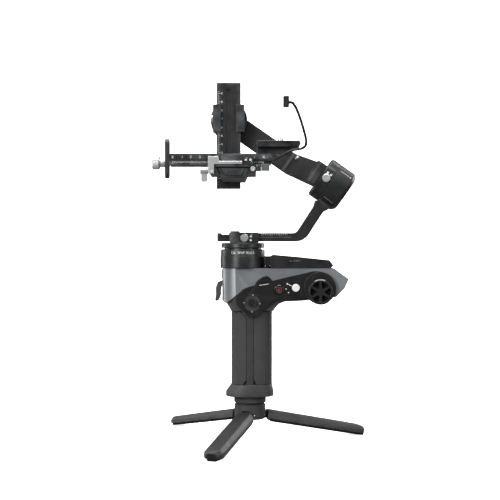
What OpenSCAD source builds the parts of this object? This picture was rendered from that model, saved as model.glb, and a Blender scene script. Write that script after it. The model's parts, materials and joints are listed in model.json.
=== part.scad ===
// A handheld three-axis camera gimbal standing on its folding tripod.
// Origin: mouth of the screw socket under the tripod's hub. +X points to the rear, -X is where a lens
// looks, +Z is up. Every distance is in millimetres.

/* [Tripod] */
// Reach of a leg's tip from the hub's axis
leg_reach = 132; // [110:1:160]
// Width of a leg
leg_w = 22; // [18:0.5:24]
// Thickness of a leg at its root
leg_t = 12; // [10:0.5:13]
// Thickness of a leg at its tip
leg_tip_t = 10.7; // [8:0.1:11]
// Height of the hub's underside over the floor
stand_h = 23.5; // [20:0.5:30]
// Radius of the hub
hub_r = 17.4; // [16.8:0.2:21]
// Height of the hub
hub_h = 16.8; // [14:0.2:21]
// Height of the threaded collar over the hub
collar_h = 7.8; // [6:0.2:10]
// Azimuth of the first leg
leg_turn = 13; // [0:1:59]

/* [Handle] */
// Height of the flange under the grip
base_h = 13.4; // [11:0.2:18]
// Height of the grip
grip_h = 81.8; // [68:0.2:100]
// Front to back size of the grip
grip_w = 45.3; // [42:0.1:55]
// Side to side size of the grip
grip_d = 40; // [36:0.5:48]
// Thickness of the grip's rubber panels
rubber_t = 3; // [2:0.1:4]

/* [Control body] */
// Height of the control body over the grip
body_h = 47; // [44:0.5:57]
// Side to side size of the grey shell
body_d = 42; // [38:0.5:50]
// How far the control panel stands proud of the shell
panel_proud = 2.5; // [1.5:0.1:4]
// Radius of the control wheel
wheel_r = 14; // [11:0.2:15.5]
// Radius of the joystick's well
stick_well_r = 9; // [7.5:0.1:10]

/* [Screen] */
// Length of the screen pod
screen_l = 69.3; // [58:0.1:80]
// Height of the screen pod at its front end
screen_h = 15; // [12.5:0.1:18]

/* [Pan motor] */
// Radius of the pan motor
pan_r = 25.2; // [22:0.1:26.5]
// Height of the pan motor's housing
pan_h = 13.6; // [11.5:0.1:17]
// Distance of the pan axis in front of the hub's axis
pan_front = 8; // [6:0.5:9.5]
// Height of the label ring
ring_h = 7.4; // [6:0.1:9]

/* [Arms] */
// Height of the pan arm's bar
arm_h = 9.3; // [7.8:0.1:11]
// Side to side size of the pan arm
arm_d = 20; // [16:0.5:23]
// Distance of the roll motor's centre behind the hub's axis
roll_x = 92.2; // [88:0.1:112]
// Height of the roll motor's centre over the pan arm's middle
roll_rise = 58.7; // [50:0.1:70]
// Slope of the roll axis
roll_slope = 35; // [32:1:38]
// Radius of the roll motor
roll_r = 24; // [21:0.1:26]
// Distance along the roll axis from the roll motor to the tilt axis
roll_reach = 143.3; // [136:0.1:172]
// Radius of the tilt motor
tilt_r = 22; // [18.5:0.1:25]
// Distance of the roll arm's inner face from the middle
arm_out = 80; // [78:0.5:96]
// Width of the roll arm
roll_arm_w = 26; // [22:0.5:31]

/* [Camera stage] */
// Length of the long rail
rail_l = 114; // [95:1:130]
// Side to side size of the rail
rail_d = 38; // [34:0.5:44]
// Height of the rail
rail_h = 12.1; // [10.5:0.1:14.5]
// Distance of the rail's underside below the tilt axis
rail_drop = 60.7; // [56:0.1:70]
// Length of the camera plate
plate_l = 48.7; // [42:0.1:58]
// Side to side size of the camera plate
plate_d = 44; // [38:0.5:50]
// Height of the lens support
support_h = 44.2; // [40:0.1:52]

/* [Hidden] */
$fn = 64;

// Clearances
run_gap = 0.05;     // radial, a shaft turning in its bore
slide_gap = 0.3;    // round a bar in its channel
part_gap = 0.4;     // between pieces that move past each other
seat_gap = 0.01;    // radial, pieces of one body on a round seat
through = 1;        // how far a cut runs past a face

// Tripod
pivot_r = 13;
pivot_z = 4.5;
tongue_r = 5.2;
tongue_w = 8;
pin_r = 2;
pin_l = 20;
hub_chamfer = 1.6;
neck_r = 14;
neck_h = 1.2;
socket_r = 3.2;
socket_l = 9;
leg_root = 5.9;
pad_t = 2.5;
leg_rise = stand_h + pivot_z;
leg_run = leg_reach - pivot_r;
leg_l = sqrt(leg_run * leg_run + leg_rise * leg_rise - leg_t * leg_t / 4);
leg_slope = atan2(leg_rise, leg_run) - atan2(leg_t / 2, leg_l);
leg_nose = 9;
collar_z = hub_h + neck_h;
collar_r = hub_r + 0.4;
stud_r = 3.1;
stud_l = 9;

// Handle
base_z = collar_z + collar_h;
grip_z = base_z + base_h;
grip_x = 2;
neck_z = grip_z + grip_h;
spine_w = 7.6;
cell_r = 9.1;
cell_l = 65;
cell_wall = 0.4;
base_front = -27;
base_rear = 26.4;
base_lip = 5;

// Control body, with heights over the top of the grip
deck_z = neck_z + body_h;
shell_y = body_d / 2;
seat_y = shell_y - 1.5;
panel_y = shell_y + panel_proud;
seam_z = deck_z - 168;
// Rounds the corners of a line of points by cutting each at a quarter of its two sides
function cut_corners(p) = concat([p[0]],
    [for (i = [0:len(p) - 2]) for (t = [0.25, 0.75]) p[i] * (1 - t) + p[i + 1] * t], [p[len(p) - 1]]);
seam_corners = [
    [-20, 134.4], [-11.6, 141.4], [-7, 145.6], [-0.7, 148.1], [22.9, 154.1], [46.8, 160],
    [58.6, 162.4], [70.6, 165.4], [84.5, 163.4], [92.4, 154.6], [95.3, 143.3], [93.1, 136.1]
];
seam = cut_corners(cut_corners(seam_corners));
stick = [2.2, 129.8];
record = [31.9, 144.5];
record_r = 5.5;
dial = [50.3, 146.6];
dial_r = 4.3;
dial_well_r = 6.7;
wheel = [77.1, 142.3];
boss = [76.9, 146.4];
boss_r = 17.6;
boss_y = panel_y + 1.6;
wheel_t = 6;
wheel_axle_r = 2.5;
stick_y = -seat_y - 0.5;
stick_r = 4.3;
pocket_t = 5;
board_t = 1.6;
power = [20, 141];
power_r = 5;
trigger_x = -33.4;
trigger_z = seam_z + 151.5;
trigger_pin_r = 1.5;
trigger_w = 12;

// Screen
screen_x = 22.7;
screen_axis = [19.5, -16];
screen_pin_r = 2;
screen_foot = 2.5;
screen_tail = 9;
screen_d = body_d + 2;

// Pan motor
pan_x = -pan_front;
pan_wall = 4;
shaft_r = 5;
ring_z = deck_z + pan_h;
ring_r = pan_r - 0.6;
rotor_z = ring_z + ring_h + 1.5;
rotor_h = 5.6;
rotor_r = pan_r - 1.2;
skirt_r = pan_r - pan_wall - part_gap;
clamp_z = rotor_z + rotor_h;
clamp_floor = 1.3;
arm_z = clamp_z + clamp_floor + slide_gap;
arm_mid = arm_z + arm_h / 2;
clamp_x0 = pan_x - 14.6;
clamp_x1 = pan_x + 17.5;
clamp_wall = 4.7;
clamp_d = arm_d + 2 * (clamp_wall + slide_gap);
clamp_top = arm_z + arm_h + 0.6;
lock_r = 4.5;
lock_stem_r = 2.5;
lock_t = 2.4;
lock_x = pan_x + 1.8;

// Pan arm
arm_x0 = -36.4;
arm_stop = 4.5;
arm_notch = 8.4;
roll_z = arm_mid + roll_rise;

// Roll motor, along its own axis: negative is forward and up
roll_front = -16.9;
roll_seam = -4.6;
roll_back = 17.8;
roll_chamfer = 4;
roll_lock_x = -10.5;

// Tilt axis and stage
tilt_x = roll_x - roll_reach * cos(roll_slope);
tilt_z = roll_z + roll_reach * sin(roll_slope);
bar_t = 10;
tilt_seam = arm_out - 0.6;
tilt_back = arm_out + 28;
rotor_y = tilt_seam - 6.4;
lift_t = 9;
lift_w = 28.3;
lift_y = rotor_y - 12.7;
lift_up = 42;
lift_down = 82.8;
lift_wall = 4;
lift_half = 16;
rail_z = tilt_z - rail_drop;
rail_x1 = tilt_x + 49.8;
rail_x0 = rail_x1 - rail_l;
bar_x = tilt_x + 6.7;
bar_top_w = 37;
bar_low_w = 26;
bar_h = 11.4;
bar_y0 = -25;
bed_t = 3.2;
bed_z = rail_z - slide_gap - bed_t;
bar_z = bed_z - slide_gap - bar_h;
bed_x0 = bar_x - 25.6;
bed_x1 = bar_x + 25.2;
bed_y0 = -rail_d / 2 - 9;
bed_y1 = rail_d / 2 + 7;
leg_low = 7.5;
wall_x0 = bar_x - 12.9;
wall_x1 = bar_x + 22.6;
wall_h = 10.4;
jaw_t = 2.6;
knob_x = bed_x0 - 1.8;
knob_y = -22;
knob_z = bed_z - 3.8;
knob_r = 3.9;
lever_x = bed_x1 + 2.2;
lever_y = -24.8;
lever_z = bed_z;
lever_t = 2.8;
plate_screw_x = bed_x1 - 3.5;
plate_screw_z = bed_z - 2.2;
riser_x0 = tilt_x + 33;
riser_l = plate_l - 10.5;
riser_d = plate_d - 12;
riser_h = 6.1;
plate_z = rail_z + rail_h + riser_h + 1;
plate_x0 = riser_x0 - 0.5;
plate_t = 7;
camera_x = plate_x0 + 27;
camera_r = 3.1;
camera_up = 5;
camera_neck = 0.4;
support_t = 4.8;
support_x = rail_x0 - 0.8 - support_t;
support_w = 13;
support_z = rail_z - 14.2;
slot_w = 6.6;
thumb_z = rail_z + 3.2;
thumb_r = 7.5;
thumb_neck_r = 5;
thumb_screw_r = 2.9;

// Camera lead: its route's points from the gland to the plug, from the rail's rear near lower corner
lead_d = 2.9;
lead_sides = 8;
lead_ref = [0.3, 0.8, 0.6];     // a way that the route never takes, so the rings don't twist
lead_points = [
    [0.6, -2, 5.2], [2.2, -2.1, 5.3], [4.8, -3.6, 6.6], [8.2, -5.5, 8.6], [12.8, -7.5, 10.8],
    [17.6, -9.5, 13.2], [22.8, -11.5, 14.9], [28.2, -14, 15.4], [32.6, -16.5, 16.4], [35.4, -19, 18.8],
    [36.2, -21.5, 22.6], [35.4, -24.5, 27.4], [33.4, -28.5, 33.8], [31, -33, 40.7], [28.4, -37.5, 47.6],
    [25.4, -42.5, 54], [22.6, -47.2, 58.4], [20.4, -50.4, 60.6], [18.6, -51.8, 61.1], [17, -52, 61.2]
];
plug_at = lead_points[len(lead_points) - 1];

// Shapes along Y and X
module plate_y(y0, y1) translate([0, y1, 0]) rotate([90, 0, 0]) linear_extrude(y1 - y0) children();
module rod_y(r, y0, y1) translate([0, y0, 0]) rotate([-90, 0, 0]) cylinder(r = r, h = y1 - y0);
module rod_x(r, x0, x1) translate([x0, 0, 0]) rotate([0, 90, 0]) cylinder(r = r, h = x1 - x0);
module lathe_x(outline) rotate([0, 90, 0]) rotate_extrude() polygon(outline);
module lathe_y(outline) rotate([-90, 0, 0]) rotate_extrude() polygon(outline);
module block(low, high) translate(low) cube(high - low);
module at_seam() translate([0, 0, seam_z]) children();
module at_roll() translate([roll_x, 0, roll_z]) rotate([0, roll_slope, 0]) children();
module at_tilt() translate([tilt_x, 0, tilt_z]) children();
module at_lead() translate([rail_x1, -rail_d / 2, rail_z]) children();
module on_panel(spot) translate([spot[0], 0, seam_z + spot[1]]) children();

// An oval between an ellipse and a rectangle, as seen from above
function sgn_pow(v, p) = sign(v) * pow(abs(v), p);
function oval(a, b, n = 56, p = 0.78) =
    [for (i = [0:n - 1]) [a * sgn_pow(cos(i * 360 / n), p), b * sgn_pow(sin(i * 360 / n), p)]];
function arc(c, r, a0, a1, n = 8) =
    [for (i = [0:n]) [c[0] + r * cos(a0 + (a1 - a0) * i / n), c[1] + r * sin(a0 + (a1 - a0) * i / n)]];

// Tripod
module leg_place(i) rotate([0, 0, leg_turn + 120 * i]) translate([pivot_r, 0, pivot_z]) children();
module leg_slice(x, w, top, low) translate([x, 0, 0])
    rotate([90, 0, 90]) linear_extrude(0.2)
        polygon([
            [-w / 2, low], [w / 2, low], [w / 2 - 0.4, low + 4], [w / 2 - 4, top], [-w / 2 + 4, top],
            [-w / 2 + 0.4, low + 4]
        ]);
module leg(i) {
    low = -leg_t / 2 + pad_t;
    tip = leg_tip_t - leg_t / 2;
    leg_place(i) rotate([0, leg_slope, 0]) difference() {
        union() {
            hull() {
                leg_slice(leg_root, leg_w - 2, leg_t / 2, low);
                leg_slice(leg_root + 4, leg_w, leg_t / 2, low);
                leg_slice(leg_l - leg_nose, leg_w, tip, low);
                leg_slice(leg_l - leg_nose / 3, leg_w - 4, tip - 0.6, low);
                leg_slice(leg_l - 0.2, leg_w - 10, tip - 1.6, low);
            }
            rod_y(tongue_r, -tongue_w / 2, tongue_w / 2);
            block([0, -tongue_w / 2, low], [leg_root + 1, tongue_w / 2, tongue_r - 0.6]);
        }
        rod_y(pin_r + run_gap, -leg_w, leg_w);
    }
}
module leg_pad(i) {
    top = -leg_t / 2 + pad_t;
    leg_place(i) rotate([0, leg_slope, 0]) hull() {
        block([leg_root + 3, -leg_w / 2 + 0.8, top - 0.2], [leg_l - leg_nose, leg_w / 2 - 0.8, top]);
        block([leg_root + 4, -leg_w / 2 + 2, -leg_t / 2], [leg_l - leg_nose, leg_w / 2 - 2, top]);
        block([leg_l - 1, -leg_w / 2 + 6, top - 0.2], [leg_l, leg_w / 2 - 6, top]);
        block([leg_l - 1, -leg_w / 2 + 7, -leg_t / 2], [leg_l, leg_w / 2 - 7, top]);
    }
}
module tripod_hub() {
    slot = tongue_w + 2 * slide_gap;
    reach = tongue_r + part_gap;
    color("#3c3c3c") difference() {
        rotate_extrude() polygon([
            [0, 0], [hub_r - hub_chamfer, 0], [hub_r, hub_chamfer], [hub_r, hub_h - 1], [hub_r - 1, hub_h],
            [neck_r, hub_h], [neck_r, collar_z], [0, collar_z]
        ]);
        translate([0, 0, -through]) cylinder(r = socket_r, h = socket_l + through);
        for (i = [0:2]) leg_place(i) {
            block([-reach, -slot / 2, -pivot_z - through], [hub_r, slot / 2, reach]);
            rod_y(pin_r + seat_gap, -pin_l / 2, pin_l / 2);
        }
    }
}
module leg_pins() {
    color("silver") for (i = [0:2]) leg_place(i) rod_y(pin_r, -pin_l / 2, pin_l / 2);
}
module leg_right() { color("#3f3f3f") leg(0); }
module leg_back() { color("#3f3f3f") leg(1); }
module leg_front() { color("#3f3f3f") leg(2); }
module leg_pad_right() { color("#242424") leg_pad(0); }
module leg_pad_back() { color("#242424") leg_pad(1); }
module leg_pad_front() { color("#242424") leg_pad(2); }
module tripod_collar() {
    color("#4a4a4a") union() {
        rotate_extrude() polygon([
            [0, collar_z], [collar_r - 1, collar_z], [collar_r, collar_z + 1], [collar_r, base_z - 1.4],
            [collar_r - 1, base_z - 0.4], [collar_r - 1, base_z], [0, base_z]
        ]);
        translate([0, 0, base_z]) cylinder(r = stud_r, h = stud_l);
    }
}

// Handle
module grip_shape(inset, z0, z1) translate([grip_x, 0, z0])
    linear_extrude(z1 - z0) polygon(oval(grip_w / 2 - inset, grip_d / 2 - inset));
module grip_base() {
    mid = (base_front + base_rear) / 2;
    color("#3a3a3a") difference() {
        hull() {
            translate([mid, 0, base_z]) linear_extrude(base_lip)
                polygon(oval((base_rear - base_front) / 2, grip_d / 2 + 1.6));
            grip_shape(0, grip_z - 0.5, grip_z);
        }
        translate([0, 0, base_z - through]) cylinder(r = stud_r + 0.1, h = stud_l + 1.5 + through);
    }
}
module spine(z0, z1) block([-spine_w / 2, -grip_d, z0], [spine_w / 2, grip_d, z1]);
module grip_core() {
    color("#333333") difference() {
        union() {
            grip_shape(rubber_t, grip_z, neck_z);
            intersection() {
                grip_shape(0.7, grip_z, neck_z);
                spine(grip_z, neck_z);
            }
        }
        for (side = [-1, 1]) translate([grip_x + side * (cell_r + cell_wall), 0, grip_z + 8])
            cylinder(r = cell_r + 0.2, h = cell_l + 1);
    }
}
module battery_cells() {
    color("#5b7f3a") for (side = [-1, 1]) translate([grip_x + side * (cell_r + cell_wall), 0, grip_z + 8.4])
        cylinder(r = cell_r, h = cell_l);
}
// A rubber panel round one end of the grip; its top and foot slope away from the spine
module grip_panel(side) {
    edge = spine_w / 2 + 0.2;
    reach = grip_w;
    foot = grip_z + 0.4;
    top = neck_z - 0.4;
    difference() {
        grip_shape(0, foot, top);
        grip_shape(rubber_t - seat_gap, grip_z - through, neck_z + through);
        plate_y(-grip_d, grip_d) polygon([
            [side * -reach, foot - 1], [side * (edge + 4.5), foot - 1], [side * edge, foot + 6],
            [side * edge, top - 7], [side * (edge + 9), top + 1], [side * -reach, top + 1]
        ]);
    }
}
module grip_panel_front() { color("#454545") grip_panel(-1); }
module grip_panel_rear() { color("#454545") grip_panel(1); }

// Control body
// Keeps what lies behind a round front of radius r, whose foremost point is at x
module round_front(x, r) intersection() {
    children();
    union() {
        translate([x + r, 0, 0]) cylinder(r = r, h = 2 * deck_z);
        block([x + r, -2 * body_d, 0], [2 * leg_reach, 2 * body_d, 2 * deck_z]);
    }
}
module lower_outline() polygon(concat(
    [[-20.7, neck_z - seam_z], [-24.2, 126.4], [-26, 129.3]], seam,
    [[84, 134.5], [67, 133], [54, 132]], arc([41.8, 114.3], 17.3, 90, 157, 10), [[24.6, neck_z - seam_z]]
));
module shell_outline() polygon(concat(
    [[-26, 129.3], [-30.3, 131.2], [-31.9, 135.5], [-31.9, 166], [-29.9, 168], [92.5, 168], [108.7, 156.3],
    [104, 145.7], [95, 136.5]],
    [for (i = [len(seam) - 1:-1:0]) seam[i]]
));
module menu_arch(grow) polygon([
    [5 - grow, 147], [6 - grow, 152], [9 - grow, 155.4 + grow], [14, 158.6 + grow], [17, 159.8 + grow],
    [19.4 + grow, 159.6 + grow], [22.4 + grow, 157], [25.4 + grow, 153.4], [25.4 + grow, 149]
]);
module lower_housing() {
    color("#2f2f2f") difference() {
        round_front(-26.5, 26) at_seam() plate_y(-seat_y, seat_y) lower_outline();
        at_seam() block([26, -12, 137], [64, 12, 153]);
        on_panel(stick) rod_y(stick_well_r, -seat_y - through, -seat_y + pocket_t);
        on_panel(record) rod_y(2.6, -seat_y - through, -seat_y + pocket_t);
        on_panel(dial) rod_y(2 + run_gap, -seat_y - through, -seat_y + pocket_t);
        on_panel(wheel) rod_y(wheel_axle_r + run_gap, -seat_y - through, -seat_y + 8);
        on_panel(power) rod_y(2.6, seat_y - pocket_t, seat_y + through);
        at_seam() block([9.6, -seat_y - through, 149.5], [22.6, -seat_y + 3.4, 157.5]);
    }
}
module body_shell() {
    color("#7d8084") union() {
        difference() {
            round_front(-31.9, shell_y + 0.6) at_seam() plate_y(-shell_y, shell_y) shell_outline();
            at_seam() plate_y(-shell_y - through, -seat_y) menu_arch(0.1);
            at_seam() block([9.6, -seat_y - through, 152], [22.6, -seat_y + 3.4, 158.6]);
            on_panel(boss) rod_y(boss_r + 0.1, -shell_y - through, -seat_y);
            translate([trigger_x + 0.4, 0, trigger_z])
                block([-4, -trigger_w / 2 - part_gap, -22], [6.8, trigger_w / 2 + part_gap, 5]);
        }
        translate([trigger_x + 3.6, 0, trigger_z])
            rod_y(trigger_pin_r, -trigger_w / 2 - 1, trigger_w / 2 + 1);
    }
}
module panel_outline() {
    polygon(concat(
        [[-14.8, 128.8], [-15.6, 133]], [for (p = seam) if (p[0] > -16 && p[0] < 70) p],
        [[76.9, 150], [66, 136.2], [58, 135], [44, 133.4], [27.4, 132.4], [23.6, 130.4]],
        arc([2.4, 124], 9.6, -48, -128, 6), [[-13.4, 126.2]]
    ));
    menu_arch(0);
    translate(boss) circle(r = boss_r);
}
module control_panel() {
    color("#2a2a2b") difference() {
        union() {
            at_seam() plate_y(-panel_y, -seat_y) panel_outline();
            on_panel(boss) rod_y(boss_r, -boss_y, -panel_y);
        }
        on_panel(stick) rod_y(stick_well_r, -panel_y - through, 0);
        on_panel(record) rod_y(record_r + part_gap, -panel_y - through, -panel_y + 1.6);
        on_panel(record) rod_y(2.6, -panel_y - through, 0);
        on_panel(dial) rod_y(dial_well_r, -panel_y - through, -panel_y + 1.8);
        on_panel(dial) rod_y(2 + run_gap, -panel_y - through, 0);
        on_panel(wheel) rod_y(wheel_axle_r + run_gap, -boss_y - through, 0);
        at_seam() plate_y(-panel_y - through, 0) menu_key(0.35);
    }
}
module menu_key(grow) polygon([
    [11.4 - grow, 152.6 - grow], [15 - grow, 156.2 + grow], [18.6 + grow, 157.4 + grow],
    [21.6 + grow, 153.8 - grow]
]);
module back_panel() {
    color("#2a2a2b") difference() {
        at_seam() plate_y(seat_y, shell_y + 0.6) polygon(concat(
            [[-12, 128]], [for (p = seam) if (p[0] > -12 && p[0] < 60) p - [0, 0.4]],
            [[62, 136], [44, 133.4], [27.4, 132.4], [9, 120], [-2.4, 119]]
        ));
        on_panel(power) rod_y(power_r + part_gap, shell_y - 0.8, shell_y + 2);
        on_panel(power) rod_y(2.6, 0, shell_y + 2);
    }
}
module main_board() {
    color("#1f5a35") at_seam() union() {
        block([27, -board_t / 2, 138], [63, board_t / 2, 152]);
        block([33, -board_t / 2 - 2, 141], [41, -board_t / 2, 149]);
        block([46, board_t / 2, 141], [58, board_t / 2 + 1.5, 150]);
    }
}
module trigger() {
    color("#4b4b4c") translate([trigger_x + 3.6, 0, trigger_z]) difference() {
        union() {
            rod_y(3, -trigger_w / 2, trigger_w / 2);
            plate_y(-trigger_w / 2, trigger_w / 2) polygon([
                [-1, 3], [-6.2, 1], [-8.4, -5], [-8.2, -13], [-9.2, -18.4], [-7.4, -20.4], [-4.6, -18.6],
                [-2.6, -13], [-2.6, -6.4], [-1.6, -3], [0, -3]
            ]);
        }
        rod_y(trigger_pin_r + run_gap, -trigger_w, trigger_w);
    }
}
module joystick_cross() {
    color("#8a8a8a") on_panel(stick) translate([0, stick_y + 1, 0]) union() {
        rod_x(1.4, -4.5, 4.5);
        cylinder(r = 1.4, h = 9, center = true);
    }
}
module joystick_cap() {
    color("#2b2b2b") on_panel(stick) lathe_y([
        [0, -panel_y - 5.2], [2.4, -panel_y - 4.6], [stick_r, -panel_y - 5], [stick_r, -panel_y - 3],
        [stick_r - 1.6, -panel_y - 2], [2, -panel_y - 0.5], [2, stick_y - 1.4], [0, stick_y - 1.4]
    ]);
}
module record_button() {
    color("#3b3b3b") on_panel(record) lathe_y([
        [0, -panel_y - 1.2], [record_r - 0.8, -panel_y - 1.2], [record_r, -panel_y - 0.6],
        [record_r, -panel_y + 0.9], [2.2, -panel_y + 0.9], [2.2, -seat_y + 2], [0, -seat_y + 2]
    ]);
}
module menu_button() {
    color("#3a3a3a") union() {
        at_seam() plate_y(-panel_y - 0.6, -seat_y) menu_key(0);
        at_seam() block([14.5, -seat_y, 153.6], [18.5, -seat_y + 2, 156]);
    }
}
module mode_dial() {
    color("#e8e8e8") on_panel(dial) difference() {
        lathe_y([
            [0, -panel_y - 2.6], [dial_r - 0.6, -panel_y - 2.6], [dial_r, -panel_y - 2],
            [dial_r, -panel_y + 1.4], [2, -panel_y + 1.4], [2, -seat_y + 3], [0, -seat_y + 3]
        ]);
        rotate([0, 45, 0]) block([-0.5, -panel_y - 4, 0.6], [0.5, -panel_y - 1.8, dial_r + 1]);
    }
}
module control_wheel() {
    outer = -boss_y - part_gap - wheel_t;
    spokes = 6;
    color("#222224") on_panel(wheel) union() {
        difference() {
            lathe_y([
                [0, outer], [wheel_r - 1.2, outer], [wheel_r, outer + 1.2], [wheel_r, outer + wheel_t - 1],
                [wheel_r - 1, outer + wheel_t], [0, outer + wheel_t]
            ]);
            for (i = [0:spokes - 1]) rotate([0, i * 360 / spokes, 0]) plate_y(outer - through, outer + 4)
                polygon([[4.4, 0.8], [10.2, 4.6], [11.4, 0], [10.2, -4.6], [4.4, -0.8]]);
        }
        rod_y(wheel_axle_r, outer + wheel_t, -seat_y + 6);
    }
}
module power_button() {
    color("#3b3b3b") on_panel(power) lathe_y([
        [0, seat_y - 2], [2.2, seat_y - 2], [2.2, shell_y + 0.2], [power_r, shell_y + 0.2],
        [power_r, shell_y + 1.2], [power_r - 0.6, shell_y + 1.8], [0, shell_y + 1.8]
    ]);
}

// Screen
module screen_bracket() {
    color("#303030") translate([screen_axis[0], screen_axis[1], deck_z]) union() {
        block([-4, -3, 0], [0, 4.4, screen_foot]);
        block([-4, 0, 0], [3, 4.4, screen_foot]);
        cylinder(r = 3, h = screen_foot);
        cylinder(r = screen_pin_r, h = screen_h - 4);
    }
}
module on_deck() translate([0, 0, deck_z]) children();
module screen_frame() {
    low = screen_foot + part_gap;
    x1 = screen_x + screen_l;
    color("#2b2b2c") on_deck() difference() {
        union() {
            plate_y(-screen_d / 2, screen_d / 2) polygon([
                [screen_x, part_gap], [x1 - 3, part_gap],
                [x1, 3], [x1 - 4.6, screen_tail], [screen_x + 30, screen_h - 2.4],
                [screen_x + 3, screen_h], [screen_x, screen_h - 2]
            ]);
            translate(screen_axis)
                block([-4, -4.5, low], [screen_x - screen_axis[0], 4.5, screen_h - 1.5]);
        }
        translate(screen_axis) cylinder(r = screen_pin_r + run_gap, h = screen_h - 3.4);
        block([screen_x + 10, -screen_d / 2 + 4, -1], [x1 - 6, screen_d / 2 - 4, 1.8]);
    }
}
module screen_glass() {
    x1 = screen_x + screen_l;
    color("#101114") on_deck()
        block([screen_x + 10.1, -screen_d / 2 + 4.1, 0.6], [x1 - 6.1, screen_d / 2 - 4.1, 1.8]);
}

// Pan motor
module pan_housing() {
    color("#3a3a3b") translate([pan_x, 0, deck_z]) difference() {
        union() {
            difference() {
                rotate_extrude()
                    polygon([[0, 0], [pan_r - 0.6, 0], [pan_r, 0.6], [pan_r, pan_h], [0, pan_h]]);
                translate([0, 0, 3]) cylinder(r = pan_r - pan_wall, h = pan_h);
            }
            cylinder(r = shaft_r + 3, h = pan_h + 3);
        }
        translate([0, 0, 2.4]) cylinder(r = shaft_r + run_gap, h = pan_h + 3);
    }
}
module pan_label_ring() {
    color("#474748") translate([pan_x, 0, ring_z]) difference() {
        cylinder(r = ring_r, h = ring_h);
        translate([0, 0, -through]) cylinder(r = pan_r - pan_wall, h = ring_h + 2 * through);
    }
}
module coil(outer) {
    teeth = 12;
    difference() {
        cylinder(r = outer, h = 12);
        translate([0, 0, -through]) cylinder(r = shaft_r + 3.1, h = 12 + 2 * through);
        for (i = [0:teeth - 1]) rotate([0, 0, i * 360 / teeth])
            block([shaft_r + 7, -1, -through], [outer + 1, 1, 13]);
    }
}
module pan_coil() {
    color("#b5652b") translate([pan_x, 0, deck_z + 3.4]) coil(pan_r - pan_wall - 1);
}
module pan_rotor() {
    color("#3d3d3e") difference() {
        union() {
            translate([pan_x, 0, 0]) {
                translate([0, 0, rotor_z]) rotate_extrude() polygon([
                    [0, -3], [skirt_r, -3], [skirt_r, 0], [rotor_r - 0.5, 0], [rotor_r, 0.5],
                    [rotor_r, rotor_h - 1], [rotor_r - 1, rotor_h], [0, rotor_h]
                ]);
                translate([0, 0, deck_z + 3]) cylinder(r = shaft_r, h = rotor_z - deck_z - 3);
            }
            block([clamp_x0, -clamp_d / 2, clamp_z], [clamp_x1, clamp_d / 2, clamp_top]);
            block([clamp_x0 + 1, -clamp_d / 2, clamp_top], [clamp_x0 + 11, clamp_d / 2, clamp_top + 1.6]);
        }
        block([clamp_x0 - through, -arm_d / 2 - slide_gap, arm_z - slide_gap],
            [clamp_x1 + through, arm_d / 2 + slide_gap, arm_z + arm_h + slide_gap]);
        translate([lock_x, 0, arm_mid - 0.8])
            rod_y(lock_stem_r + run_gap, -clamp_d / 2 - through, -arm_d / 2);
    }
}
module lock_knob(stem) difference() {
    lathe_y([
        [0, -lock_t], [lock_r - 0.7, -lock_t], [lock_r, -lock_t + 0.7], [lock_r, -0.2], [lock_stem_r, -0.2],
        [lock_stem_r, stem], [0, stem]
    ]);
    block([-0.4, -lock_t - 1, 1.2], [0.4, -lock_t + 0.3, lock_r + 1]);
}
module pan_lock() {
    color("#c9cccb") translate([lock_x, -clamp_d / 2 - 0.1, arm_mid - 0.8]) lock_knob(clamp_wall - 0.6);
}

// Pan arm: a flat bar that bends up to the roll motor
module arm_outline() {
    rise = 57;
    out = [cos(rise), sin(rise)];
    side = [sin(rise), -cos(rise)];
    half = 6.1;
    outer_r = 17;
    inner_r = 8;
    top = [roll_x - 12.7, roll_z - 22.3];
    arm_top = arm_z + arm_h;
    out_x = top[0] + (half + (arm_z - top[1]) * cos(rise)) / sin(rise) - outer_r * tan(rise / 2);
    in_x = top[0] + (-half + (arm_top - top[1]) * cos(rise)) / sin(rise) - inner_r * tan(rise / 2);
    polygon(concat(
        [[arm_x0, arm_z]], arc([out_x, arm_z + outer_r], outer_r, -90, rise - 90, 8),
        [[top[0] + side[0] * half - out[0] * 6, top[1] + side[1] * half - out[1] * 6],
        [roll_x - 4, roll_z - 27], [roll_x + 4, roll_z - 14], [roll_x - 14, roll_z - 8],
        [top[0] - side[0] * (half + 2) + out[0], top[1] - side[1] * (half + 2) + out[1]],
        [top[0] - side[0] * half - out[0] * 6, top[1] - side[1] * half - out[1] * 6]],
        arc([in_x, arm_top + inner_r], inner_r, rise - 90, -90, 5), [[arm_x0, arm_top]]
    ));
}
module pan_arm() {
    color("#4b4b4b") difference() {
        plate_y(-arm_d / 2, arm_d / 2) arm_outline();
        at_roll() rod_x(roll_r + seat_gap, roll_seam - 6, roll_back + 30);
        at_roll() block([roll_seam - 30, -arm_d, -roll_r - 1], [roll_seam + part_gap, arm_d, 2 * roll_r]);
        block([arm_x0 + arm_stop, -arm_d, arm_z + arm_h - 1.6],
            [arm_x0 + arm_stop + arm_notch, arm_d, arm_z + arm_h + 1]);
        for (side = [-1, 1]) translate([0, side * arm_d / 2, 0])
            block([9.5, -0.8, arm_z + 4.8], [44.8, 0.8, arm_z + 8.4]);
    }
}

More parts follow.
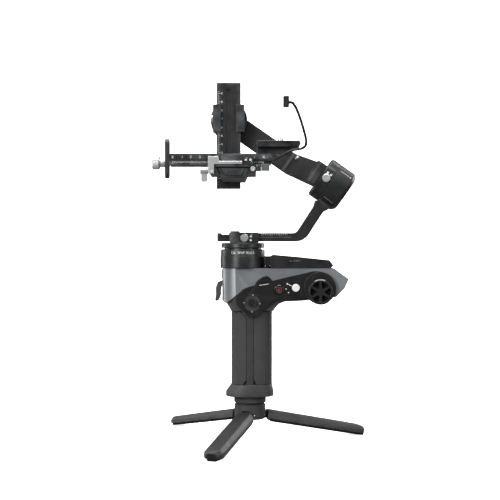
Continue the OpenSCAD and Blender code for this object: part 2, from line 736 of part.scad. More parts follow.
// Roll motor
module roll_stator() {
    x0 = roll_seam + part_gap;
    color("#3a3a3c") at_roll() difference() {
        union() {
            difference() {
                lathe_x([
                    [0, x0], [roll_r, x0], [roll_r, roll_back - roll_chamfer],
                    [roll_r - roll_chamfer, roll_back], [0, roll_back]
                ]);
                rod_x(roll_r - pan_wall, x0 - through, roll_back - 4);
            }
            rod_x(shaft_r + 3, x0 + 1, roll_back - 1);
        }
        rod_x(shaft_r + run_gap, x0 - through, roll_back - 2);
    }
}
module roll_coil() {
    color("#b5652b") at_roll() translate([roll_seam + part_gap + 1.4, 0, 0])
        rotate([0, 90, 0]) coil(roll_r - pan_wall - 0.6);
}
module roll_rotor() {
    color("#3f3f41") at_roll() difference() {
        union() {
            lathe_x([
                [0, roll_front], [roll_r - 2, roll_front], [roll_r, roll_front + 2], [roll_r, roll_seam],
                [0, roll_seam]
            ]);
            rod_x(shaft_r, roll_seam, roll_back - 3);
        }
        translate([roll_lock_x, 0, 0]) rod_y(lock_stem_r + run_gap, -roll_r - through, -roll_r + 7);
    }
}
module roll_lock() {
    color("#c9cccb") at_roll() translate([roll_lock_x, -roll_r - 0.1, 0]) lock_knob(5);
}
// The roll arm leaves the rotor's face, runs out to the side and then along the roll axis
module roll_arm() {
    out = -roll_reach;
    near = out + 88;
    outside = arm_out + bar_t;
    color("#262626") difference() {
        at_roll() intersection() {
            linear_extrude(roll_arm_w, center = true) polygon([
                [roll_front, -12], [roll_front, 16], [near + 5, outside - 2], [near + 1, outside],
                [out, outside], [out, arm_out], [near - 4, arm_out], [near + 1, arm_out - 3],
                [roll_front - 12, 10], [roll_front - 12, -8], [roll_front - 8, -12]
            ]);
            block([out, -roll_arm_w, -roll_arm_w], [0, outside, roll_arm_w]);
        }
        at_tilt() rod_y(tilt_r + seat_gap, 0, tilt_back + 10);
    }
}

// Tilt motor
module tilt_stator() {
    color("#3a3a3c") at_tilt() difference() {
        union() {
            difference() {
                lathe_y([
                    [0, tilt_seam], [tilt_r, tilt_seam], [tilt_r, tilt_back - 3], [tilt_r - 3, tilt_back],
                    [0, tilt_back]
                ]);
                rod_y(tilt_r - pan_wall, tilt_seam - through, tilt_back - 4);
            }
            rod_y(shaft_r + 3, tilt_seam + 1, tilt_back - 1);
        }
        rod_y(shaft_r + run_gap, tilt_seam - through, tilt_back - 2);
    }
}
module tilt_coil() {
    color("#b5652b") at_tilt() translate([0, tilt_seam + 1.4, 0])
        rotate([-90, 0, 0]) coil(tilt_r - pan_wall - 0.6);
}
module tilt_rotor() {
    half = lift_w / 2 + slide_gap;
    color("#3f3f41") at_tilt() difference() {
        union() {
            lathe_y([
                [0, rotor_y], [tilt_r - 1, rotor_y], [tilt_r, rotor_y + 1], [tilt_r, tilt_seam - part_gap],
                [0, tilt_seam - part_gap]
            ]);
            rod_y(shaft_r, tilt_seam - part_gap, tilt_back - 3);
            block([-half - lift_wall, lift_y - 3, -lift_half], [half + lift_wall, rotor_y, lift_half]);
        }
        block([-half, lift_y - slide_gap, -lift_half - through],
            [half, lift_y + lift_t + slide_gap, lift_half + through]);
        block([-9, lift_y - 4, -lift_half - through], [9, lift_y, lift_half + through]);
        translate([-half, lift_y + 4, 0]) rod_x(lock_stem_r + run_gap, -lift_wall - through, through);
    }
}
module tilt_lock() {
    color("#c9cccb") at_tilt() translate([-lift_w / 2 - slide_gap - lift_wall - 0.1, lift_y + 4, 0])
        rotate([0, 0, -90]) lock_knob(lift_wall - 0.5);
}

// Camera stage
module tilt_arm() {
    color("#3b3b3b") at_tilt() difference() {
        block([-lift_w / 2, lift_y, -lift_down], [lift_w / 2, lift_y + lift_t, lift_up]);
        block([-2.6, lift_y - through, -lift_down + 6], [2.6, lift_y + 1.6, lift_up - 8]);
    }
}
module bar_outline(grow) {
    half = bar_top_w / 2 + grow;
    low = bar_low_w / 2 + grow;
    polygon([[-low, -grow], [low, -grow], [half, bar_h + grow], [-half, bar_h + grow]]);
}
module crossbar() {
    color("#2c2c2c") translate([bar_x, 0, bar_z]) plate_y(bar_y0, lift_y) bar_outline(0);
}
module crossbar_cap() {
    half = bar_low_w / 2 - 3.6;
    color("#4d4d4e") translate([bar_x, 0, bar_z]) plate_y(bar_y0 - 1.4, bar_y0)
        polygon([[-half, 2.4], [half, 2.4], [half + 3, bar_h - 0.8], [-half - 3, bar_h - 0.8]]);
}
module rail_outline(grow) {
    half = rail_d / 2 + grow;
    polygon([
        [-half, -grow], [half, -grow], [half, 3.6], [half - 1.4, 6.4], [half - 1.4, rail_h + grow],
        [-half + 1.4, rail_h + grow], [-half + 1.4, 6.4], [-half, 3.6]
    ]);
}
module rail_prism(x0, x1, grow) translate([x0, 0, rail_z])
    rotate([90, 0, 90]) linear_extrude(x1 - x0) rail_outline(grow);
module clamp_base() {
    lever_hub_r = 3.1;
    color("#6f7274") union() {
        difference() {
            union() {
                block([bed_x0, bed_y0, bed_z - leg_low], [bed_x1, bed_y1, bed_z + bed_t]);
                block([wall_x0, bed_y0, bed_z + bed_t], [wall_x1, bed_y1, bed_z + bed_t + wall_h]);
            }
            rail_prism(bed_x0 - through, bed_x1 + through, slide_gap);
            translate([bar_x, 0, bar_z]) plate_y(bed_y0 - through, bed_y1 + through) bar_outline(slide_gap);
            translate([0, knob_y, knob_z]) rod_x(1.5 + run_gap, bed_x0 - through, bed_x0 + 5);
            translate([plate_screw_x, 0, plate_screw_z]) rod_y(1.5 + seat_gap, bed_y0 - through, bed_y0 + 6);
            translate([lever_x, lever_y, lever_z - slide_gap]) cylinder(r = 4.6, h = bed_t + through);
        }
        translate([lever_x, lever_y, lever_z - 4.4]) {
            cylinder(r = lever_hub_r, h = 4.4 - slide_gap);
            block([bed_x1 - 1.6 - lever_x, -lever_hub_r, 0], [0, lever_hub_r, 4.4 - slide_gap]);
            cylinder(r = 1.6, h = lever_t + 4.3);
        }
    }
}
module clamp_jaw() {
    x1 = bar_x + 10;
    color("#c4c7c6") difference() {
        plate_y(bed_y0 - jaw_t, bed_y0) polygon([
            [knob_x + 0.4, bed_z - 7.4], [knob_x + 6.6, bed_z - 7.4], [knob_x + 6.6, bed_z + 3],
            [x1, bed_z + 3], [x1, bed_z + 6.2], [knob_x + 12.6, bed_z + 6.2], [knob_x + 10.6, bed_z + 11.4],
            [knob_x, bed_z + 11.4], [knob_x, bed_z + 2]
        ]);
        translate([knob_x + 3.5, 0, bed_z - 3.6]) rod_y(1.2, bed_y0 - jaw_t - through, bed_y0 - jaw_t + 0.8);
    }
}
module clamp_knob() {
    color("#c4c7c6") translate([0, knob_y, knob_z]) union() {
        rod_x(knob_r, knob_x - 8.8, knob_x - 0.2);
        rod_x(1.5, knob_x - 0.2, bed_x0 + 4);
        plate_y(-2.4, 2.4) polygon([
            [knob_x - 7.8, -3], [knob_x - 7.8, -11], [knob_x - 6.8, -12], [knob_x - 2, -12],
            [knob_x - 1, -11], [knob_x - 1, -3]
        ]);
    }
}
module quick_release_lever() {
    color("#717476") translate([lever_x, lever_y, lever_z]) difference() {
        union() {
            cylinder(r = 4.2, h = lever_t);
            block([0, -3.2, 0], [4, 3.2, lever_t]);
            block([3.4, -4.6, -4], [12.4, 3.8, lever_t]);
        }
        translate([0, 0, -through]) cylinder(r = 1.6 + run_gap, h = lever_t + 2 * through);
    }
}
module plate_screw() {
    color("#c9cccb") translate([plate_screw_x, bed_y0, plate_screw_z]) difference() {
        union() {
            rod_y(2.7, -2.2, 0);
            rod_y(1.5, 0, 5);
        }
        rotate([0, 30, 0]) block([-0.5, -3, -4], [0.5, -1.2, 4]);
    }
}
module long_rail() {
    color("#2e2e2f") union() {
        difference() {
            rail_prism(rail_x0, rail_x1, 0);
            translate([rail_x1, 0, rail_z]) rotate([0, 45, 0]) cube([5, 2 * rail_d, 5], center = true);
            block([rail_x0 + 12, -slot_w / 2, rail_z - through],
                [rail_x0 + 40, slot_w / 2, rail_z + rail_h + through]);
            translate([0, 0, thumb_z]) rod_x(thumb_screw_r, rail_x0 - through, rail_x0 + 9);
            translate([camera_x, 0, rail_z - through]) cylinder(r = 5, h = rail_h + 2 * through);
        }
        at_lead() block([-4.6, -3.8, 3.6], [0.4, 2, 7]);
    }
}
module camera_plate() {
    color("#48494a") difference() {
        union() {
            block([riser_x0, -riser_d / 2, rail_z + rail_h], [riser_x0 + riser_l, riser_d / 2, plate_z]);
            plate_y(-plate_d / 2, plate_d / 2) polygon([
                [plate_x0, plate_z + 1.6], [plate_x0 + 1.6, plate_z], [plate_x0 + plate_l - 4, plate_z],
                [plate_x0 + plate_l, plate_z + 3.4], [plate_x0 + plate_l - 1.4, plate_z + plate_t],
                [plate_x0 + 1.2, plate_z + plate_t], [plate_x0, plate_z + plate_t - 1.2]
            ]);
        }
        translate([camera_x, 0, rail_z + rail_h - through]) {
            cylinder(r = camera_r + 0.2, h = 40);
            cylinder(r = 6.4, h = 5 + through);
        }
    }
}
module camera_screw() {
    top = plate_z + plate_t;
    color("#c9cccb") translate([camera_x, 0, 0]) union() {
        translate([0, 0, rail_z + rail_h]) cylinder(r = 6, h = 4.9);
        translate([0, 0, rail_z + rail_h]) cylinder(r = camera_r - 0.6, h = top - rail_z - rail_h + 1);
        translate([0, 0, top + camera_neck]) cylinder(r = camera_r, h = camera_up - camera_neck);
    }
}
module lens_support() {
    half = support_w / 2;
    color("#333334") translate([support_x, 0, support_z]) rotate([90, 0, 90])
        linear_extrude(support_t) difference() {
            union() {
                translate([0, half]) circle(r = half);
                translate([0, support_h - half]) circle(r = half);
                translate([-half, half]) square([support_w, support_h - support_w]);
            }
            translate([0, half + 2]) circle(r = slot_w / 2);
            translate([0, support_h - half - 2]) circle(r = slot_w / 2);
            translate([-slot_w / 2, half + 2]) square([slot_w, support_h - support_w - 4]);
        }
}
module lens_knob() {
    x1 = support_x - 0.3;
    color("#c4c7c6") translate([0, 0, thumb_z]) union() {
        rod_x(thumb_r, x1 - 14.4, x1 - 5.4);
        rod_x(thumb_neck_r, x1 - 5.4, x1);
        rod_x(thumb_screw_r - run_gap, x1, rail_x0 + 8);
    }
}

// Camera lead: a round tube swept along its route, and its right-angle plug
function lead_way(i) = let (last = len(lead_points) - 1)
    lead_points[min(last, i + 1)] - lead_points[max(0, i - 1)];
function unit(v) = v / norm(v);
function lead_ring(i) = let (
    way = unit(lead_way(i)), side = unit(cross(way, lead_ref)), up = cross(side, way)
) [for (k = [0:lead_sides - 1])
    lead_points[i] + lead_d / 2 * (side * cos(k * 360 / lead_sides) + up * sin(k * 360 / lead_sides))];
module cable_lead() {
    n = len(lead_points);
    m = lead_sides;
    color("#1b1b1b") at_lead() polyhedron(
        points = [for (i = [0:n - 1]) for (p = lead_ring(i)) p],
        faces = concat(
            [[for (k = [0:m - 1]) k]],
            [for (i = [0:n - 2]) for (k = [0:m - 1])
                [i * m + k, (i + 1) * m + k, (i + 1) * m + (k + 1) % m]],
            [for (i = [0:n - 2]) for (k = [0:m - 1])
                [i * m + k, (i + 1) * m + (k + 1) % m, i * m + (k + 1) % m]],
            [[for (k = [m - 1:-1:0]) (n - 1) * m + k]]
        ));
}
module cable_plug() {
    color("#1f1f1f") at_lead() translate(plug_at) union() {
        block([-6.6, -4.2, -5], [-0.6, 4.2, 6.2]);
        block([-5.4, 4.2, -2.4], [-1.8, 10, 3.6]);
        block([-0.6, -2, -2], [-0.1, 2, 2]);
    }
}

tripod_hub();
leg_pins();
leg_right();
leg_back();
leg_front();
leg_pad_right();
leg_pad_back();
leg_pad_front();
tripod_collar();
grip_base();
grip_core();
grip_panel_front();
grip_panel_rear();
battery_cells();
lower_housing();
body_shell();
control_panel();
back_panel();
main_board();
pan_housing();
pan_label_ring();
pan_coil();
screen_bracket();
trigger();
joystick_cross();
joystick_cap();
record_button();
menu_button();
mode_dial();
control_wheel();
power_button();
screen_frame();
screen_glass();
pan_rotor();
pan_lock();
pan_arm();
roll_stator();
roll_coil();
roll_rotor();
roll_arm();
roll_lock();
tilt_stator();
tilt_coil();
tilt_rotor();
tilt_lock();
tilt_arm();
crossbar();
crossbar_cap();
clamp_base();
clamp_jaw();
clamp_knob();
quick_release_lever();
plate_screw();
long_rail();
camera_plate();
camera_screw();
lens_support();
lens_knob();
cable_lead();
cable_plug();
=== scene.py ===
"""The looks of a handheld camera gimbal on its folding tripod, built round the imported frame.

Lengths are written in millimetres and turned to metres by MM. +X is the rear, -Y the side with the
controls and +Z up. Every shape starts from the frame's own boxes.
"""

import json
import math

import bmesh
import bpy
from mathutils import Matrix, Vector


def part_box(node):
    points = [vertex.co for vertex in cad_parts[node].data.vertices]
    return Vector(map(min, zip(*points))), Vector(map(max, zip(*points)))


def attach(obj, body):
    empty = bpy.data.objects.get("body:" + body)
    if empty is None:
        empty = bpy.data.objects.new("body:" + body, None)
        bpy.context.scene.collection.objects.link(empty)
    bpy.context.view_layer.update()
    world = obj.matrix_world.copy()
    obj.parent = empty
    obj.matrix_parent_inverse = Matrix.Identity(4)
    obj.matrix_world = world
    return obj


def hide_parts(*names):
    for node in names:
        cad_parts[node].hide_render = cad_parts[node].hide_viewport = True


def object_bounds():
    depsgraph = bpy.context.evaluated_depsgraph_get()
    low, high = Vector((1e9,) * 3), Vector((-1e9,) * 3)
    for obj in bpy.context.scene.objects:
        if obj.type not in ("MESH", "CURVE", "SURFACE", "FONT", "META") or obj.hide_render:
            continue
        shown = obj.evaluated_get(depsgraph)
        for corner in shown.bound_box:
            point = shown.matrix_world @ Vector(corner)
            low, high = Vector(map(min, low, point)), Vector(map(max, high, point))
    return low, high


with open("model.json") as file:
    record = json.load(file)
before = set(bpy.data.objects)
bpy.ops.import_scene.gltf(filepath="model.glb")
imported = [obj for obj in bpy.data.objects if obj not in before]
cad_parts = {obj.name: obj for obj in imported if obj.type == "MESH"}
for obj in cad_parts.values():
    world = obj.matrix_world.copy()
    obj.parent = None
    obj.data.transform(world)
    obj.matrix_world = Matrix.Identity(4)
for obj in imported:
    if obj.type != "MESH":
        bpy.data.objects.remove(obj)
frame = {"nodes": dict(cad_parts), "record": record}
cad_low, cad_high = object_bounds()

MM = 0.001
BODY_OF = {node: body for body, nodes in frame["record"]["behaviour"]["bodies"].items() for node in nodes}
SMOOTH_ANGLE = math.radians(32)
FLAT_ANGLE = math.radians(0.6)      # faces that turn by less than this are one face
WELD = 0.002                        # corners nearer than this are one corner
INK_T = 0.05                        # thickness of a printed mark
HEX_T = 0.02                        # thickness of the dark hexagon painted as shade on a screw's head
FLAKE = 0.25                        # size of the flakes in metallic paint
SHADE_FROM, SHADE_TO = 0.45, 1.0    # the part of the noise that runs from dark to light
RIDGE_FROM, RIDGE_TO = 0.53, 0.62   # how sharp an edge starts and ends being rubbed


# ---------------------------------------------------------------- materials

def linear(code):
    """An sRGB hex value as linear red, green, blue and alpha."""
    parts = [int(code[i:i + 2], 16) / 255 for i in (1, 3, 5)]
    return [c / 12.92 if c <= 0.04045 else ((c + 0.055) / 1.055) ** 2.4 for c in parts] + [1.0]


def add(tree, kind, settings=None, inputs=None):
    """A node with its settings and its inputs, where an input is a value or another node's socket."""
    node = tree.nodes.new(kind)
    for key, value in (settings or {}).items():
        setattr(node, key, value)
    for key, value in (inputs or {}).items():
        if isinstance(value, bpy.types.NodeSocket):
            tree.links.new(value, node.inputs[key])
        else:
            node.inputs[key].default_value = value
    return node


def finish(name, dark, light, rough, metal=0.0, grain=0.5, relief=0.02, mottle=12.0, wear=0.0,
           worn="#9a9c9e", stretch=(1, 1, 1), coat=0.0, coat_rough=0.1, specular=0.5, flake=0.0,
           glow=0.0):
    """A surface whose colour runs from dark to light in soft mottling, with a grain of a real size in mm.

    rough is the range of roughness, relief the grain's depth in mm, wear how far rubbed edges turn
    to the worn colour, stretch draws the grain out along an axis, flake adds metallic sparkle, and glow
    makes the surface its own light.
    """
    material = bpy.data.materials.new(name)
    material.use_nodes = True
    tree = material.node_tree
    tree.nodes.clear()
    where = add(tree, "ShaderNodeTexCoord").outputs["Object"]
    drawn = add(tree, "ShaderNodeVectorMath", {"operation": "MULTIPLY"}, {0: where, 1: stretch}).outputs[0]
    fine = add(tree, "ShaderNodeTexNoise", None,
               {"Vector": drawn, "Scale": 1 / (grain * MM), "Detail": 3.0, "Roughness": 0.6}).outputs["Fac"]
    broad = add(tree, "ShaderNodeTexNoise", None,
                {"Vector": where, "Scale": 1 / (mottle * MM), "Detail": 2.0}).outputs["Fac"]
    both = add(tree, "ShaderNodeMath", {"operation": "MULTIPLY_ADD"}, {0: fine, 1: 0.45, 2: broad}).outputs[0]
    shade = add(tree, "ShaderNodeMapRange", None,
                {"Value": both, "From Min": SHADE_FROM, "From Max": SHADE_TO}).outputs[0]
    colour = add(tree, "ShaderNodeMix", {"data_type": "RGBA"},
                 {0: shade, 6: linear(dark), 7: linear(light)}).outputs[2]
    if flake:
        cells = add(tree, "ShaderNodeTexVoronoi", None,
                    {"Vector": where, "Scale": 1 / (FLAKE * MM)}).outputs["Color"]
        spark = add(tree, "ShaderNodeMix", {"data_type": "RGBA", "blend_type": "SOFT_LIGHT"},
                    {0: flake, 6: colour, 7: cells})
        colour = spark.outputs[2]
    if wear:
        ridge = add(tree, "ShaderNodeNewGeometry").outputs["Pointiness"]
        edge = add(tree, "ShaderNodeMapRange", None,
                   {"Value": ridge, "From Min": RIDGE_FROM, "From Max": RIDGE_TO, "To Max": wear}).outputs[0]
        broken = add(tree, "ShaderNodeMath", {"operation": "MULTIPLY"}, {0: edge, 1: shade}).outputs[0]
        colour = add(tree, "ShaderNodeMix", {"data_type": "RGBA"},
                     {0: broken, 6: colour, 7: linear(worn)}).outputs[2]
    roughness = add(tree, "ShaderNodeMapRange", None,
                    {"Value": both, "From Min": SHADE_FROM, "From Max": SHADE_TO, "To Min": rough[0],
                     "To Max": rough[1]}).outputs[0]
    bump = add(tree, "ShaderNodeBump", None,
               {"Height": fine, "Strength": 0.6, "Distance": relief * MM}).outputs["Normal"]
    shader = add(tree, "ShaderNodeBsdfPrincipled", None,
                 {"Base Color": colour, "Roughness": roughness, "Metallic": metal, "Normal": bump,
                  "Coat Weight": coat, "Coat Roughness": coat_rough, "Specular IOR Level": specular,
                  "Emission Color": linear("#ffffff"), "Emission Strength": glow})
    add(tree, "ShaderNodeOutputMaterial", None, {"Surface": shader.outputs[0]})
    return material


# Glass-filled nylon, injection moulded against a spark-eroded tool: an even fine matt grain.
NYLON = finish("glass_filled_nylon", "#303030", "#3b3b3b", (0.5, 0.66), grain=0.45, relief=0.05, wear=0.35,
               worn="#6c6c6c")
# The handle's inner moulding shows only as a spine: the same nylon, a little darker and smoother.
SPINE_NYLON = finish("spine_nylon", "#2e2e2e", "#383838", (0.42, 0.55), grain=0.4, relief=0.03)
# The legs are the same nylon moulded in black.
LEG_NYLON = finish("black_leg_nylon", "#212121", "#2b2b2b", (0.4, 0.54), grain=0.45, relief=0.05, wear=0.7,
                   worn="#747474")
# Compression-moulded silicone rubber: soft, very matt, with a pebbled skin drawn coarse enough to show.
RUBBER = finish("pebbled_silicone_rubber", "#373737", "#434343", (0.62, 0.8), grain=0.8, relief=0.12,
                specular=0.35)
# Foot rubber is harder and blacker, and picks up dust.
FOOT_RUBBER = finish("foot_rubber", "#161616", "#222120", (0.7, 0.88), grain=0.7, relief=0.08, specular=0.3)
# Gunmetal paint over a moulded shell: a metallic base coat with fine flake and a satin clear coat.
GUNMETAL = finish("gunmetal_paint", "#74777a", "#888b8f", (0.32, 0.4), metal=0.4, grain=0.6, relief=0.01,
                  mottle=40, coat=0.35, coat_rough=0.22, flake=0.12, wear=0.3, worn="#b9bbbc")
# Satin black ABS of the control panel, moulded against a polished tool.
SATIN_ABS = finish("satin_black_abs", "#101011", "#171718", (0.26, 0.36), grain=0.5, relief=0.012, coat=0.25,
                   coat_rough=0.18, wear=0.35, worn="#5a5a5c")
# Gloss black ABS of the wheel and the keys, which takes sharp highlights.
GLOSS_ABS = finish("gloss_black_abs", "#0d0d0e", "#141416", (0.12, 0.2), grain=0.5, relief=0.006, coat=0.7,
                   coat_rough=0.06, wear=0.4, worn="#6a6a6d")
# The wheel is the same ABS moulded against a satin tool, so its windows stand out.
WHEEL_ABS = finish("satin_wheel_abs", "#1a1a1b", "#232325", (0.16, 0.26), grain=0.5, relief=0.008, coat=0.6,
                   coat_rough=0.08, wear=0.5, worn="#7a7a7d")
# Bead-blasted aluminium under a black dyed anodic layer: a dull sheen and paler rubbed edges.
BLACK_ANODISED = finish("black_anodised_aluminium", "#242425", "#303031", (0.34, 0.46), metal=0.4, grain=0.3,
                        relief=0.03, wear=0.7, worn="#8b8d8f")
# The motors' housings have the same layer on a turned surface, slightly smoother.
MOTOR_ANODISED = finish("turned_black_anodised_aluminium", "#2a2a2b", "#363738", (0.3, 0.4), metal=0.45,
                        grain=0.3, relief=0.02, wear=0.6, worn="#8b8d8f")
# The roll arm is cast magnesium with a deep matt powder coat.
POWDER_COAT = finish("matt_powder_coat", "#0c0c0c", "#121212", (0.46, 0.58), grain=0.5, relief=0.06, wear=0.8,
                     worn="#77797b")
# Machined rail: fine milling lines along its length under black anodising.
MILLED_BLACK = finish("milled_black_anodised_aluminium", "#171718", "#232324", (0.34, 0.46), metal=0.5,
                      grain=0.5, relief=0.02, stretch=(0.05, 1, 1), wear=0.7, worn="#8b8d8f")
# Clamp castings: grey anodising over a bead-blasted face.
GREY_ANODISED = finish("grey_anodised_aluminium", "#3e4042", "#505355", (0.34, 0.46), metal=0.6, grain=0.35,
                       relief=0.03, wear=0.5, worn="#c2c4c4")
# Clear anodised turned aluminium of knobs, screws and lock buttons.
BRIGHT_TURNED = finish("bright_turned_aluminium", "#d6d8d7", "#ecedec", (0.26, 0.36), metal=0.8, grain=0.4,
                       relief=0.015, stretch=(4, 0.4, 0.4))
# Ground steel pins.
STEEL = finish("ground_steel", "#8e9092", "#a9abad", (0.22, 0.34), metal=1.0, grain=0.4, relief=0.01)
# White polyacetal of the mode knob.
WHITE_POM = finish("white_polyacetal", "#dcdcda", "#ececea", (0.32, 0.42), grain=0.6, relief=0.01, coat=0.1)
# Screen-printed epoxy ink: dead white and slightly raised.
INK = finish("white_screen_print_ink", "#d2d2d0", "#e6e6e4", (0.5, 0.6), grain=0.4, relief=0.01)
# Grey epoxy ink of the marks that are meant to be seen only from close by.
GREY_INK = finish("grey_screen_print_ink", "#6e6f70", "#7c7d7e", (0.5, 0.6), grain=0.4, relief=0.01)
# Red ring and dot of the record key.
RED_INK = finish("red_pad_print_ink", "#7d1d22", "#93262b", (0.4, 0.5), grain=0.4, relief=0.01)
# Cover glass of the screen with black ink behind it.
COVER_GLASS = finish("inked_cover_glass", "#060709", "#0b0c10", (0.04, 0.08), grain=2.0, relief=0.001, coat=1.0,
                     coat_rough=0.03)
# Enamelled copper wire of the windings.
COPPER = finish("enamelled_copper", "#9a4f22", "#b8672f", (0.25, 0.38), metal=0.9, grain=0.5, relief=0.1,
                stretch=(1, 1, 6))
# Green heat-shrink sleeve on the cells.
SHRINK_SLEEVE = finish("pvc_shrink_sleeve", "#2f6b45", "#3a7d52", (0.3, 0.4), grain=1.0, relief=0.02, coat=0.3)
# Solder mask over the circuit board.
SOLDER_MASK = finish("green_solder_mask", "#0f4a2a", "#176038", (0.3, 0.42), grain=0.6, relief=0.02, coat=0.3)
# Painted shade: a near-black sheet laid inside a screw's hexagon and in the wheel's windows, standing for the
# shade that fills them, too deep for light.
SHADOW = finish("painted_recess_shade", "#060606", "#0b0b0b", (0.6, 0.8), grain=0.5, relief=0.005, specular=0.2)
# Extruded PVC jacket of the camera lead.
JACKET = finish("extruded_pvc_jacket", "#171717", "#212121", (0.36, 0.46), grain=0.5, relief=0.015,
                specular=0.45)
# Background paper, lit through from behind so that it stays white.
PAPER = finish("white_background_paper", "#fbfbfb", "#ffffff", (0.85, 0.9), grain=3.0, relief=0.002, mottle=900,
               specular=0.1, glow=0.85)


# ---------------------------------------------------------------- shapes

def settle(name, mesh, material, body, replaces=(), bevel=0.0, segments=2):
    """Makes a mesh a piece on a body, with rounded edges, and lets it stand for CAD nodes."""
    piece = bpy.data.objects.new(name, mesh)
    bpy.context.collection.objects.link(piece)
    mesh.materials.clear()
    mesh.materials.append(material)
    for face in mesh.polygons:
        face.use_smooth = True
    if bevel:
        edge = piece.modifiers.new("edges", "BEVEL")
        edge.width = bevel * MM
        edge.segments = segments
        edge.limit_method = "ANGLE"
        edge.angle_limit = SMOOTH_ANGLE
        edge.harden_normals = True
        edge.use_clamp_overlap = True
    flat = piece.modifiers.new("flat_faces", "WEIGHTED_NORMAL")
    flat.keep_sharp = True
    flat.weight = 80
    if replaces:
        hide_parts(*replaces)
    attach(piece, body)
    return piece


def sharp_edges(shape):
    """Marks the edges of a bmesh that turn by more than the smoothing angle."""
    for edge in shape.edges:
        edge.smooth = len(edge.link_faces) == 2 and edge.calc_face_angle(0) < SMOOTH_ANGLE


def dress(node, material, bevel=0.3, segments=2):
    """A piece with the CAD node's own shape, its flat faces made whole and its edges rounded."""
    shape = bmesh.new()
    shape.from_mesh(frame["nodes"][node].data)
    bmesh.ops.remove_doubles(shape, verts=shape.verts, dist=WELD * MM)
    bmesh.ops.dissolve_limit(shape, angle_limit=FLAT_ANGLE, verts=shape.verts, edges=shape.edges)
    bmesh.ops.recalc_face_normals(shape, faces=shape.faces)
    sharp_edges(shape)
    mesh = bpy.data.meshes.new(node + "_skin")
    shape.to_mesh(mesh)
    shape.free()
    return settle(node + "_skin", mesh, material, BODY_OF[node], (node,), bevel, segments)


def add_prism(shape, outline, place, thick):
    """Adds a closed prism to a bmesh: place turns (u, v, depth) in mm to a point."""
    front = [shape.verts.new(place(u, v, 0)) for u, v in outline]
    back = [shape.verts.new(place(u, v, thick)) for u, v in outline]
    count = len(outline)
    shape.faces.new(front)
    shape.faces.new(list(reversed(back)))
    for i in range(count):
        j = (i + 1) % count
        shape.faces.new((front[i], back[i], back[j], front[j]))


def prisms(name, outlines, place, thick, material, body, bevel=0.0):
    """One piece made of several prisms."""
    shape = bmesh.new()
    for outline in outlines:
        add_prism(shape, outline, place, thick)
    bmesh.ops.recalc_face_normals(shape, faces=shape.faces)
    sharp_edges(shape)
    mesh = bpy.data.meshes.new(name)
    shape.to_mesh(mesh)
    shape.free()
    return settle(name, mesh, material, body, (), bevel)


def lathe(name, profile, centre, axis, material, body, steps=64, replaces=(), wobble=None, bevel=0.0,
          closed=False):
    """A turned piece: profile is (along, radius) in mm from centre along axis.

    wobble(angle, row) scales the radius, and a closed profile makes a ring.
    """
    turn = Vector(axis).to_track_quat("Z", "Y").to_matrix()
    shape = bmesh.new()
    rings = []
    for row, (along, radius) in enumerate(profile):
        ring = []
        for i in range(steps):
            angle = 2 * math.pi * i / steps
            r = radius * (wobble(i, row) if wobble else 1)
            spot = turn @ Vector((r * math.cos(angle), r * math.sin(angle), along)) * MM + centre
            ring.append(shape.verts.new(spot))
        rings.append(ring)
    for low, high in zip(rings, rings[1:] + rings[:1] if closed else rings[1:]):
        for i in range(steps):
            j = (i + 1) % steps
            shape.faces.new((low[i], low[j], high[j], high[i]))
    if not closed:
        shape.faces.new(list(reversed(rings[0])))
        shape.faces.new(rings[-1])
    bmesh.ops.recalc_face_normals(shape, faces=shape.faces)
    sharp_edges(shape)
    mesh = bpy.data.meshes.new(name)
    shape.to_mesh(mesh)
    shape.free()
    return settle(name, mesh, material, body, replaces, bevel)


def centre_of(node):
    """The middle of a CAD node's box, in metres."""
    low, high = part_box(node)
    return (low + high) / 2


def disc(u, v, r, steps=20):
    """The outline of a round, or of a regular polygon with few steps."""
    return [(u + r * math.cos(2 * math.pi * i / steps), v + r * math.sin(2 * math.pi * i / steps))
            for i in range(steps)]


def bar(u0, v0, u1, v1):
    """The outline of an upright rectangle between two corners."""
    return [(u0, v0), (u1, v0), (u1, v1), (u0, v1)]


def stroke(u0, v0, u1, v1, wide):
    """The outline of a line of some width."""
    along = Vector((u1 - u0, v1 - v0)).normalized() * wide / 2
    return [(u0 - along.y, v0 + along.x), (u1 - along.y, v1 + along.x), (u1 + along.y, v1 - along.x),
            (u0 + along.y, v0 - along.x)]


def facing_front(y):
    """Places (x, z) in mm on a plane that faces the controls' side."""
    return lambda u, v, depth: Vector((u, y - depth, v)) * MM


def facing_back(y):
    """Places (x, z) in mm on a plane that faces away from the controls."""
    return lambda u, v, depth: Vector((u, y + depth, v)) * MM


def ring_strokes(u, v, r, a0, a1, wide, count=10):
    """An arc as a row of short strokes."""
    ends = [(u + r * math.cos(math.radians(a0 + (a1 - a0) * i / count)),
             v + r * math.sin(math.radians(a0 + (a1 - a0) * i / count))) for i in range(count + 1)]
    return [stroke(*a, *b, wide) for a, b in zip(ends, ends[1:])]


def padlock(u, v, size, is_open):
    """A padlock sign: a body, and a shackle that is closed or turned up."""
    lift = 0.25 * size if is_open else 0
    aside = 0.3 * size if is_open else 0
    body = [bar(u - 0.5 * size, v - 0.6 * size, u + 0.5 * size, v + 0.1 * size)]
    return body + ring_strokes(u + aside, v + 0.1 * size + lift, 0.32 * size, 0, 180, 0.14 * size, 8)


# ---------------------------------------------------------------- camera, lights and backdrop

